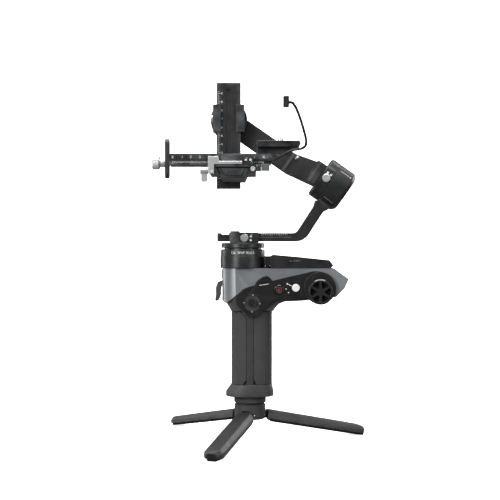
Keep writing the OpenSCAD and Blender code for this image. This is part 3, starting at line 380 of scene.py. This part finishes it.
def set_stage():
    """A level camera on the controls' side, softboxes round the object, and a white paper sweep."""
    scene = bpy.context.scene
    data = bpy.data.cameras.new("camera")
    data.lens = 75.6
    data.sensor_width = 36
    data.clip_end = 20
    camera = bpy.data.objects.new("camera", data)
    camera.location = (0, -1.176, 0.1882)
    camera.rotation_euler = (math.radians(90), 0, 0)
    scene.collection.objects.link(camera)
    scene.camera = camera
    near, far, rise, side, bend = -2.6, 1.9, 3.2, 4.0, 0.9
    profile = [(near, 0.0), (far - bend, 0.0)]
    profile += [(far - bend + bend * math.sin(math.radians(a)), bend - bend * math.cos(math.radians(a)))
                for a in range(10, 91, 10)]
    profile.append((far, rise))
    shape = bmesh.new()
    rows = [[shape.verts.new((x, y, cad_low.z + z)) for x in (-side, side)] for y, z in profile]
    for a, b in zip(rows, rows[1:]):
        shape.faces.new((a[0], a[1], b[1], b[0]))
    mesh = bpy.data.meshes.new("backdrop")
    shape.to_mesh(mesh)
    shape.free()
    for face in mesh.polygons:
        face.use_smooth = True
    mesh.materials.append(PAPER)
    backdrop = bpy.data.objects.new("backdrop", mesh)
    scene.collection.objects.link(backdrop)
    backdrop.visible_glossy = False
    backdrop.visible_diffuse = False
    target = Vector((0.02, 0, 0.19))
    for name, spot, power, wide, tall in (
        ("key_softbox", (-0.95, -1.25, 0.75), 24, 0.45, 1.3),
        ("fill_softbox", (1.35, -1.1, 0.7), 9, 0.5, 1.2),
        ("top_softbox", (0.1, -0.15, 1.5), 26, 1.2, 1.0),
        ("rear_strip", (1.0, 0.9, 0.6), 8, 0.3, 1.2),
        ("front_strip", (-1.1, 0.55, 0.4), 5, 0.3, 1.2),
        ("backdrop_wash", (0.0, 0.9, 1.7), 30, 2.6, 0.6),
    ):
        lamp = bpy.data.lights.new(name, "AREA")
        lamp.shape = "RECTANGLE"
        lamp.size, lamp.size_y = wide, tall
        lamp.energy = power
        light = bpy.data.objects.new(name, lamp)
        light.location = spot
        aim = target if name != "backdrop_wash" else Vector((0, 1.9, 0.6))
        light.rotation_euler = (aim - Vector(spot)).to_track_quat("-Z", "Y").to_euler()
        scene.collection.objects.link(light)
    world = bpy.data.worlds.new("studio")
    world.use_nodes = True
    world.node_tree.nodes["Background"].inputs["Color"].default_value = linear("#f4f5f6")
    world.node_tree.nodes["Background"].inputs["Strength"].default_value = 0.2
    scene.world = world
    scene.view_settings.view_transform = "Standard"


set_stage()


# ---------------------------------------------------------------- camera lead

def camera_lead():
    """The short lead from the rail to the camera's port, which stands by its moulded stiffness."""
    corner = Vector((24.6155, -19, 282.5435))
    diameter = 2.9
    route = [
        (0.6, -2, 5.2), (2.2, -2.1, 5.3), (4.8, -3.6, 6.6), (8.2, -5.5, 8.6), (12.8, -7.5, 10.8),
        (17.6, -9.5, 13.2), (22.8, -11.5, 14.9), (28.2, -14, 15.4), (32.6, -16.5, 16.4), (35.4, -19, 18.8),
        (36.2, -21.5, 22.6), (35.4, -24.5, 27.4), (33.4, -28.5, 33.8), (31, -33, 40.7), (28.4, -37.5, 47.6),
        (25.4, -42.5, 54), (22.6, -47.2, 58.4), (20.4, -50.4, 60.6), (18.6, -51.8, 61.1), (17, -52, 61.2)
    ]
    curve = bpy.data.curves.new("camera_lead", "CURVE")
    curve.dimensions = "3D"
    curve.bevel_depth = diameter / 2 * MM
    curve.bevel_resolution = 5
    curve.resolution_u = 6
    curve.use_fill_caps = True
    spline = curve.splines.new("BEZIER")
    spline.bezier_points.add(len(route) - 1)
    for point, spot in zip(spline.bezier_points, route):
        point.co = (corner + Vector(spot)) * MM
        point.handle_left_type = point.handle_right_type = "AUTO"
    curve.materials.append(JACKET)
    lead = bpy.data.objects.new("camera_lead", curve)
    bpy.context.collection.objects.link(lead)
    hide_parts("cable_lead")
    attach(lead, "rail")
    plug = dress("cable_plug", JACKET, 0.7, 3)


camera_lead()


# ---------------------------------------------------------------- printed marks

SEGMENTS = {
    "a": (0, 1, 1, 1), "b": (1, 0.5, 1, 1), "c": (1, 0, 1, 0.5), "d": (0, 0, 1, 0), "e": (0, 0, 0, 0.5),
    "f": (0, 0.5, 0, 1), "g": (0, 0.5, 1, 0.5)
}
DIGITS = ("abcdef", "bc", "abged", "abgcd", "fgbc", "afgcd", "afgedc", "abc", "abcdefg", "abcdfg")
SHAPES = ("adef", "bcefg", "def", "abcef", "aefg", "bcdef", "abfge", "acdfg")


def sign(lit, u, v, wide, high, line):
    """A sign drawn with some of seven strokes, its lower left corner at (u, v)."""
    return [stroke(u + a * wide, v + b * high, u + c * wide, v + d * high, line)
            for a, b, c, d in (SEGMENTS[key] for key in lit)]


def caption(u, v, high, groups, line=0.3):
    """A row of signs without meaning, in groups, as small print looks from far off."""
    marks = []
    step = high * 0.85
    count = 0
    for size in groups:
        for _ in range(size):
            marks += sign(SHAPES[count * 5 % len(SHAPES)], u, v, high * 0.55, high, line)
            u += step
            count += 1
        u += step * 0.7
    return marks


def on_drum(centre, turn, radius):
    """Places (along, round) in mm on a drum: turn is a matrix with the drum's axis as x, and -y is round 0."""
    def place(u, v, depth):
        angle = v / radius
        reach = radius + depth
        return (turn @ Vector((u, -reach * math.cos(angle), reach * math.sin(angle))) + centre) * MM
    return place


# Places on the CAD model in mm: motors' centres and radii, and the planes and middles of the controls.
ROLL_AT = Vector((92.2, 0, 261.05))
ROLL_TURN = Matrix.Rotation(math.radians(35), 3, "Y")
ROLL_R = 24.0
PAN_AT = Vector((-8, 0, 0))
PAN_R = 24.6
LABEL_Z = 184.0
TILT_X, TILT_Z = -25.1845, 343.2435
RAIL_NEAR = -19
RAIL_UPPER = -17.6
PANEL_NEAR = -23.5
PAN_CLAMP_NEAR = -15
PAN_ARM_NEAR = -10
JOYSTICK_AT = (2.2, 129.8)
RECORD_AT = (31.9, 144.5)
WHEEL_AT = (77.1, 142.3)
WHEEL_WELL = 3.95   # depth of the wheel's windows
POWER_AT = (20, 141)


def in_roll(u, v, w):
    """A point of the roll motor's own frame in mm, as a point of the whole in metres."""
    return (ROLL_TURN @ Vector((u, v, w)) + ROLL_AT) * MM


def roll_marks():
    """Padlock signs of the roll lock, the printed index line beside it, and a painted highlight in bright metal
    near the arm's foot.
    """
    drum = on_drum(ROLL_AT, ROLL_TURN, ROLL_R)
    prisms("roll_lock_signs", padlock(-12.4, 6.6, 2.3, False) + padlock(-8.2, 6.2, 2.3, True), drum, INK_T, INK,
           "upper_arm")
    prisms("roll_index_line", [stroke(-1.6, 17.8, 9.4, 17.8, 0.45), disc(11.2, 17.8, 0.8)], drum, INK_T, INK,
           "lower_arm")
    # Painted highlight: a thin L of bright metal and a dot on the drum, standing for the glint on the edge
    # where the arm meets the motor's can.
    prisms("roll_foot_painted_glint", [stroke(-0.6, -19.4, 11.4, -20.2, 0.7), stroke(-0.6, -19.4, -2.0, -26.0, 0.7),
                              disc(-2.4, -27.6, 0.9)], drum, INK_T, BRIGHT_TURNED, "lower_arm")


def pan_marks():
    """The label of the pan motor and the padlock signs of its lock."""
    ring = on_drum(PAN_AT, Matrix.Rotation(math.radians(90), 3, "Y"), PAN_R)
    prisms("motor_caption", caption(-12.6, 0, 2.3, (3, 4, 5), 0.36),
           lambda u, v, depth: ring(-(v + LABEL_Z), u, depth), INK_T, INK, "handle")
    face = facing_front(PAN_CLAMP_NEAR)
    prisms("pan_lock_signs", padlock(0.8, 199.4, 2.2, False) + padlock(1.0, 203.8, 2.2, True), face, INK_T, INK,
           "pan_head")


def rail_marks():
    """Numerals every centimetre and a line every millimetre along the rail's near side."""
    x0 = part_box("long_rail")[0].x / MM + 4
    numbers, lines = [], []
    for i in range(11):
        x = x0 + 10 * i
        for k, figure in enumerate(str(i)):
            shift = k * 1.9 - (len(str(i)) - 1) * 0.95 - 0.6
            numbers += sign(DIGITS[int(figure)], x + shift, 289.6, 1.2, 2.3, 0.36)
    for i in range(101):
        tall = 2.4 if i % 10 == 0 else (1.9 if i % 5 == 0 else 1.3)
        lines.append(bar(x0 + i - 0.14, 285.8 - tall, x0 + i + 0.14, 285.8))
    prisms("rail_numerals", numbers, facing_front(RAIL_UPPER), INK_T, INK, "rail")
    prisms("rail_lines", lines, facing_front(RAIL_NEAR), INK_T, INK, "rail")


def arm_marks():
    """Scales on the vertical arm, the crossbar and the pan arm."""
    x0, near, z0 = (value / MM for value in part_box("tilt_arm")[0])
    lines = [bar(x0 + 1.4, z0 + 12 + 2 * i, x0 + (4.6 if i % 5 == 0 else 3.2), z0 + 12.3 + 2 * i)
             for i in range(52)]
    for i in range(11):
        lines += sign(DIGITS[i % 10], x0 + 5.6, z0 + 11.2 + 10 * i, 1.1, 2.0, 0.32)
    prisms("height_scale", lines, facing_front(near), INK_T, INK, "lift")
    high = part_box("crossbar")[1]
    x1, top = high.x / MM, high.z / MM
    lines = [bar(x1 - (4.8 if i % 5 == 0 else 3.4), 30 + 2 * i, x1 - 1.8, 30.3 + 2 * i) for i in range(14)]
    prisms("side_scale", lines, lambda u, v, depth: Vector((u, v, top + depth)) * MM, INK_T, INK, "lift")
    lines = [bar(13 + 2 * i, 204.7 if i % 5 else 204.0, 13.3 + 2 * i, 206.2) for i in range(15)]
    prisms("pan_arm_scale", lines, facing_front(PAN_ARM_NEAR), INK_T, INK, "lower_arm")


def panel_marks():
    """Painted highlight dots and a gloss ring round the joystick, signs round the other controls, painted shade
    in the wheel's windows, the screen's caption and lid line, and the power sign on the back.
    """
    face = facing_front(PANEL_NEAR)
    # Painted highlights: four white dots above, below and beside the joystick, where its ring catches the
    # light.
    prisms("joystick_painted_glints", [disc(3.4, 138.9, 0.75), disc(2.2, 120.5, 0.75), disc(-6.9, 130.2, 0.7),
                              disc(11.2, 129.2, 0.7)], face, INK_T, INK, "handle")
    prisms("joystick_ring", ring_strokes(*JOYSTICK_AT, 9.3, 0, 360, 0.5, 48), face, 0.3, GLOSS_ABS, "handle",
           0.1)
    prisms("mode_signs", [stroke(45.6, 148.8, 42.2, 150.4, 0.9), disc(41.0, 151.0, 0.9), disc(39.6, 145.3, 0.7),
                          disc(42.3, 141.4, 0.7)], face, INK_T, INK, "handle")
    prisms("menu_caption", [stroke(10.1, 149.4, 20.6, 151.0, 0.6)], face, INK_T, INK, "handle")
    key = facing_front(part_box("record_button")[0].y / MM)
    prisms("record_ring", ring_strokes(*RECORD_AT, 2.9, 0, 360, 0.5, 36), key, INK_T, RED_INK, "record_key")
    prisms("record_dot", [disc(*RECORD_AT, 1.1)], key, INK_T, RED_INK, "record_key")
    wheel = facing_front(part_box("control_wheel")[0].y / MM + WHEEL_WELL)
    # Painted shade: a near-black disc just above the floor of the wheel's windows, so that they read as dark
    # hollows.
    prisms("wheel_well_painted_shade", [disc(*WHEEL_AT, 11.3, 40)], wheel, 0.04, SHADOW, "wheel")
    lid_face = facing_front(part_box("screen_frame")[0].y / MM)
    prisms("screen_caption", caption(43.0, 175.4, 1.5, (3, 6), 0.2), lid_face, INK_T, GREY_INK, "screen")
    lid = [stroke(25.5, 180.3, 52.4, 177.9, 0.35), stroke(52.4, 177.9, 84.6, 174.8, 0.35)]
    prisms("screen_lid_edge", lid, lid_face, 0.12, GLOSS_ABS, "screen")
    x, z = POWER_AT
    sign_at = ring_strokes(x, z, 1.7, 130, 410, 0.4, 16) + [stroke(x, z + 0.2, x, z + 2.3, 0.4)]
    prisms("power_sign", sign_at, facing_back(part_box("power_button")[1].y / MM), INK_T, INK, "power_key")


def clamp_marks():
    """Open and closed padlock signs beside the quick-release lever."""
    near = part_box("clamp_base")[0].y / MM
    prisms("clamp_signs", padlock(-4.6, 287.4, 2.4, True) + padlock(0.6, 287.4, 2.4, False), facing_front(near),
           INK_T, INK, "clamp")


roll_marks()
pan_marks()
rail_marks()
arm_marks()
panel_marks()
clamp_marks()


# ---------------------------------------------------------------- fine parts that the CAD leaves plain

def knurled(i, row, rows, depth):
    """A straight knurl: every second pair of points is cut in, on the rows that carry it."""
    return 1 - depth if row in rows and i % 4 < 2 else 1


def turned_parts():
    """The lens support's knob and the tripod's collar, with the knurls that the CAD leaves out."""
    low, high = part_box("lens_knob")
    axis_z = (low.z + high.z) / 2
    x0 = low.x / MM
    profile = [(x0, 5.6), (x0 + 0.5, 6.8), (x0 + 1.2, 7.45), (x0 + 1.4, 7.5), (x0 + 7.6, 7.5), (x0 + 7.8, 7.45),
               (x0 + 8.6, 6.6), (x0 + 9.0, 5.6), (x0 + 9.02, 5.0), (x0 + 11.2, 5.0), (x0 + 11.6, 4.5),
               (x0 + 12.2, 4.5), (x0 + 12.6, 5.0), (x0 + 14.4, 5.0), (x0 + 14.42, 2.85), (high.x / MM, 2.85)]
    lathe("lens_knob_turned", profile, Vector((0, 0, axis_z)), (1, 0, 0), BRIGHT_TURNED, "support_screw", 112,
          ("lens_knob",), lambda i, row: knurled(i, row, (3, 4), 0.045))
    low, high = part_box("tripod_collar")
    z0 = low.z / MM
    profile = [(z0, 16.6), (z0 + 0.5, 17.5), (z0 + 0.9, 17.75), (z0 + 1.1, 17.8), (z0 + 5.0, 17.8),
               (z0 + 5.2, 17.75), (z0 + 5.6, 17.2), (z0 + 6.0, 16.9), (z0 + 7.8, 16.8), (z0 + 7.82, 3.1),
               (high.z / MM, 3.1)]
    lathe("tripod_collar_turned", profile, Vector((0, 0, 0)), (0, 0, 1), NYLON, "handle", 240,
          ("tripod_collar",), lambda i, row: knurled(i, row, (3, 4), 0.016))


def leg_parts():
    """Cross ribs of the rubber pads, and the dark plug in each leg's end."""
    slope, first_leg, leg_step = math.radians(10.43), 13, 120
    pivot = Matrix.Translation((13, 0, 4.5))
    rib_count, rib_from, rib_step, rib_t = 42, 12, 2.4, 1.2
    rib = [(-10.4, -3.7), (10.4, -3.7), (9.3, -6.0), (-9.3, -6.0)]
    plug_at, plug_t = 122.0, 0.35
    oval = [(5.0 * math.cos(math.radians(a)), -0.4 + 2.9 * math.sin(math.radians(a)))
            for a in range(0, 360, 12)]
    for i, (body, pad) in enumerate((("right_leg", "leg_pad_right"), ("back_leg", "leg_pad_back"),
                                     ("front_leg", "leg_pad_front"))):
        round_hub = Matrix.Rotation(math.radians(first_leg + leg_step * i), 4, "Z")
        put = round_hub @ pivot @ Matrix.Rotation(slope, 4, "Y")
        shape = bmesh.new()
        for k in range(rib_count):
            x = rib_from + rib_step * k
            add_prism(shape, rib, lambda u, v, depth, x=x: (put @ Vector((x + depth, u, v))) * MM, rib_t)
        bmesh.ops.recalc_face_normals(shape, faces=shape.faces)
        mesh = bpy.data.meshes.new(pad + "_ribs")
        shape.to_mesh(mesh)
        shape.free()
        settle(pad + "_ribs", mesh, FOOT_RUBBER, body)
        prisms(body + "_end_plug", [oval], lambda u, v, depth: (put @ Vector((plug_at + depth, u, v))) * MM,
               plug_t, FOOT_RUBBER, body, 0.1)


def screw(name, spot, way, r, material, body, sunk=0.35):
    """A socket screw's head, with a dark hexagon of painted shade laid on its top where the socket would be."""
    turn = Vector(way).to_track_quat("Z", "Y").to_matrix()
    lathe(name, [(-0.3, r), (sunk - 0.1, r), (sunk, r - 0.15)], spot, way, material, body, 28)
    prisms(name + "_hex", [disc(0, 0, r * 0.5, 6)],
           lambda u, v, depth: spot + (turn @ Vector((u, v, sunk + depth))) * MM, HEX_T, SHADOW, body)


def screws():
    """The heads of the screws that hold the motors' caps, the back panel, the clamp and the rail."""
    pitch_r, roll_cap, cap_r = 13, 17.8, 1.5
    tilt_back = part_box("tilt_stator")[1].y / MM
    for i in range(3):
        a = math.radians(90 + 120 * i)
        across, up = pitch_r * math.cos(a), pitch_r * math.sin(a)
        screw(f"roll_cap_screw_{i + 1}", in_roll(roll_cap, across, up), ROLL_TURN @ Vector((1, 0, 0)), cap_r,
              STEEL, "lower_arm")
        screw(f"tilt_cap_screw_{i + 1}", Vector((TILT_X + across, tilt_back, TILT_Z + up)) * MM, (0, 1, 0),
              cap_r, STEEL, "upper_arm")
    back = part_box("back_panel")[1].y
    for k, (x, z) in enumerate(((-4, 131), (6, 124), (37, 138), (54, 141))):
        screw(f"back_panel_screw_{k + 1}", Vector((x * MM, back, z * MM)), (0, 1, 0), 1.4, STEEL, "handle",
              0.3)
    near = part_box("crossbar_cap")[0].y
    centre = centre_of("crossbar_cap")
    for k, x in enumerate((-8, 8)):
        screw(f"crossbar_cap_screw_{k + 1}", Vector((centre.x + x * MM, near, centre.z)), (0, -1, 0), 1.3,
              STEEL, "lift", 0.3)
    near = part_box("clamp_base")[0].y
    for k, x in enumerate((-12.5, 1.5)):
        screw(f"clamp_wall_screw_{k + 1}", Vector((x * MM, near, 283.4 * MM)), (0, -1, 0), 1.3, STEEL,
              "clamp", 0.3)
    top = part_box("long_rail")[1].z
    for k, x in enumerate((-33, -27)):
        screw(f"rail_screw_{k + 1}", Vector((x * MM, 11 * MM, top)), (0, 0, 1), 1.3, STEEL, "rail", 0.2)


def arm_knob():
    """The small stop knob on the roll arm's inner face."""
    spot = in_roll(-50.1, 66, 8.6)
    way = ROLL_TURN @ Vector((-0.936, -0.355, 0))
    lathe("arm_stop_knob", [(-0.4, 2.7), (1.6, 2.7), (2.1, 2.3)], spot, way, BRIGHT_TURNED, "upper_arm", 36)


def joystick_boot():
    """The soft dished ring round the joystick's foot."""
    lathe("joystick_boot", [(21.0, 8.9), (23.1, 8.9), (23.2, 8.2), (21.9, 4.4), (21.2, 4.4)],
          Vector((JOYSTICK_AT[0], 0, JOYSTICK_AT[1])) * MM, (0, -1, 0), RUBBER, "handle", 48, closed=True)


turned_parts()
leg_parts()
joystick_boot()
screws()
arm_knob()


# ---------------------------------------------------------------- shapes that the CAD already has

for node_name, material_of, rounding in (
    ("tripod_hub", NYLON, 0.5), ("leg_pins", STEEL, 0.2), ("leg_right", LEG_NYLON, 0.9),
    ("leg_back", LEG_NYLON, 0.9), ("leg_front", LEG_NYLON, 0.9), ("grip_base", NYLON, 0.6),
    ("grip_core", SPINE_NYLON, 0.2),
    ("grip_panel_front", RUBBER, 0.6), ("grip_panel_rear", RUBBER, 0.6), ("lower_housing", NYLON, 1.2),
    ("body_shell", GUNMETAL, 1.6), ("control_panel", SATIN_ABS, 0.8), ("back_panel", SATIN_ABS, 0.8),
    ("pan_housing", MOTOR_ANODISED, 0.3), ("pan_label_ring", MOTOR_ANODISED, 0.2),
    ("screen_bracket", SATIN_ABS, 0.3), ("trigger", NYLON, 0.8), ("joystick_cap", SATIN_ABS, 0.3),
    ("record_button", GLOSS_ABS, 0.3), ("menu_button", SATIN_ABS, 0.4), ("mode_dial", WHITE_POM, 0.25),
    ("control_wheel", WHEEL_ABS, 0.5), ("power_button", GLOSS_ABS, 0.3), ("screen_frame", SATIN_ABS, 0.9),
    ("screen_glass", COVER_GLASS, 0.2), ("pan_rotor", MOTOR_ANODISED, 0.5), ("pan_lock", BRIGHT_TURNED, 0.2),
    ("pan_arm", BLACK_ANODISED, 0.6), ("roll_stator", MOTOR_ANODISED, 0.4), ("roll_rotor", MOTOR_ANODISED, 0.4),
    ("roll_arm", POWDER_COAT, 1.0), ("roll_lock", BRIGHT_TURNED, 0.2), ("tilt_stator", MOTOR_ANODISED, 0.4),
    ("tilt_rotor", MOTOR_ANODISED, 0.4), ("tilt_lock", BRIGHT_TURNED, 0.2), ("tilt_arm", BLACK_ANODISED, 0.6),
    ("crossbar", BLACK_ANODISED, 0.7), ("crossbar_cap", BLACK_ANODISED, 0.4),
    ("clamp_base", BLACK_ANODISED, 0.5),
    ("clamp_jaw", BRIGHT_TURNED, 0.3), ("clamp_knob", BRIGHT_TURNED, 0.4),
    ("quick_release_lever", GREY_ANODISED, 0.5), ("plate_screw", BRIGHT_TURNED, 0.2),
    ("long_rail", MILLED_BLACK, 0.4), ("camera_plate", MILLED_BLACK, 0.5), ("camera_screw", BRIGHT_TURNED, 0.2),
    ("lens_support", BLACK_ANODISED, 0.4), ("battery_cells", SHRINK_SLEEVE, 0.4),
    ("main_board", SOLDER_MASK, 0.1),
    ("pan_coil", COPPER, 0.3), ("roll_coil", COPPER, 0.3), ("tilt_coil", COPPER, 0.3),
    ("joystick_cross", STEEL, 0.2),
    ("leg_pad_right", FOOT_RUBBER, 0.4), ("leg_pad_back", FOOT_RUBBER, 0.4),
    ("leg_pad_front", FOOT_RUBBER, 0.4),
):
    dress(node_name, material_of, rounding)
